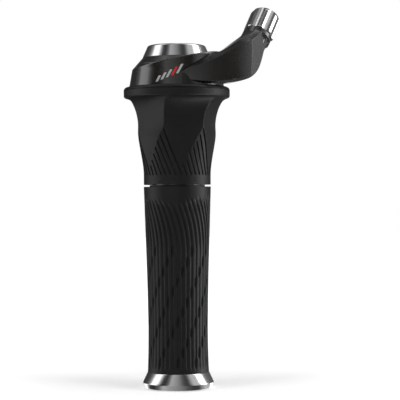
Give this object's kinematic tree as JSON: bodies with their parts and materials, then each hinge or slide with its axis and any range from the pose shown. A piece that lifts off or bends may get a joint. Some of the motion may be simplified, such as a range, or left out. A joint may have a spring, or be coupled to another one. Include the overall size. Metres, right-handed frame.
{
  "type": "twist grip shifter",
  "caption": "Handlebar twist grip shifter: ribbed lock-on grip, scooped rubber twist sleeve, glossy housing with cable boom and fluted barrel adjuster.",
  "frame": {"origin": "on the handlebar's axis, at the outboard face of the lock ring", "axes": "+Z along the handlebar, inboard; +X towards the cable boom; -Y is the side with the cover's face"},
  "size_m": [0.0783, 0.053, 0.1898],
  "materials": {
    "grip_rubber": "matt black ribbed rubber",
    "twist_rubber": "matt black rubber with fine grain",
    "housing_plastic": "glossy black",
    "cover_plastic": "glossy black",
    "polished_ring": "polished",
    "adjuster_metal": "polished, fluted",
    "tube_metal": "plain turned",
    "core_plastic": "black nylon",
    "sleeve_plastic": "black nylon",
    "drum_plastic": "natural acetal",
    "click_plastic": "dark acetal",
    "cage_plastic": "natural nylon",
    "bearing_steel": "ground steel",
    "washer_plastic": "white acetal",
    "spring_steel": "spring steel",
    "screw_steel": "zinc plated",
    "bolt_steel": "dark plated",
    "index_plastic": "black acetal",
    "insert_brass": "plain brass"
  },
  "bodies": {
    "bar_mount": {"lock_ring": "polished_ring", "lock_bolt": "bolt_steel", "grip_core": "core_plastic", "grip_rubber": "grip_rubber", "inner_tube": "tube_metal", "tube_screws": "screw_steel", "retaining_ring": "spring_steel", "outboard_washer": "washer_plastic", "inboard_washer": "washer_plastic", "housing": "housing_plastic", "housing_cover": "cover_plastic", "cover_screw": "screw_steel", "clamp_ring": "polished_ring", "clamp_bolt": "bolt_steel", "click_spring": "spring_steel", "threaded_insert": "insert_brass", "adjuster_spring": "spring_steel"},
    "twist_grip": {"twist_sleeve": "sleeve_plastic", "twist_rubber": "twist_rubber", "cable_drum": "drum_plastic", "drum_screws": "screw_steel", "click_ring": "click_plastic"},
    "outboard_bearing": {"cage_outboard": "cage_plastic", "balls_outboard": "bearing_steel"},
    "middle_bearing": {"cage_middle": "cage_plastic", "balls_middle": "bearing_steel"},
    "inboard_bearing": {"cage_inboard": "cage_plastic", "balls_inboard": "bearing_steel"},
    "adjuster_index": {"index_sleeve": "index_plastic"},
    "adjuster": {"adjuster_barrel": "adjuster_metal"}
  },
  "joints": [
    {"name": "twist_turn", "type": "hinge", "parent": "bar_mount", "child": "twist_grip", "pos_m": [0, 0, 0.125], "axis": [0, 0, -1], "range_deg": [0, 107.81], "deforming": ["click_spring"]},
    {"name": "outboard_bearing_turn", "type": "hinge", "parent": "bar_mount", "child": "outboard_bearing", "pos_m": [0, 0, 0.1076], "axis": [0, 0, -1], "range_deg": [0, 57.93]},
    {"name": "middle_bearing_turn", "type": "hinge", "parent": "bar_mount", "child": "middle_bearing", "pos_m": [0, 0, 0.1296], "axis": [0, 0, -1], "range_deg": [0, 57.93]},
    {"name": "inboard_bearing_turn", "type": "hinge", "parent": "bar_mount", "child": "inboard_bearing", "pos_m": [0, 0, 0.1516], "axis": [0, 0, -1], "range_deg": [0, 57.93]},
    {"name": "barrel_travel", "type": "slide", "parent": "bar_mount", "child": "adjuster_index", "axis": [0.3391, 0.4986, 0.7978], "range_m": [0, 0.003], "deforming": ["adjuster_spring"]},
    {"name": "barrel_turn", "type": "hinge", "parent": "adjuster_index", "child": "adjuster", "pos_m": [0.0409, 0, 0.1757], "axis": [0.3391, 0.4986, 0.7978], "range_deg": [0, 1080]}
  ],
  "couplings": [
    {"joint": "outboard_bearing_turn", "follows": "twist_turn", "ratio": 0.53729},
    {"joint": "middle_bearing_turn", "follows": "twist_turn", "ratio": 0.53729},
    {"joint": "inboard_bearing_turn", "follows": "twist_turn", "ratio": 0.53729},
    {"joint": "barrel_turn", "follows": "barrel_travel", "rad_per_m": 6283.2}
  ]
}
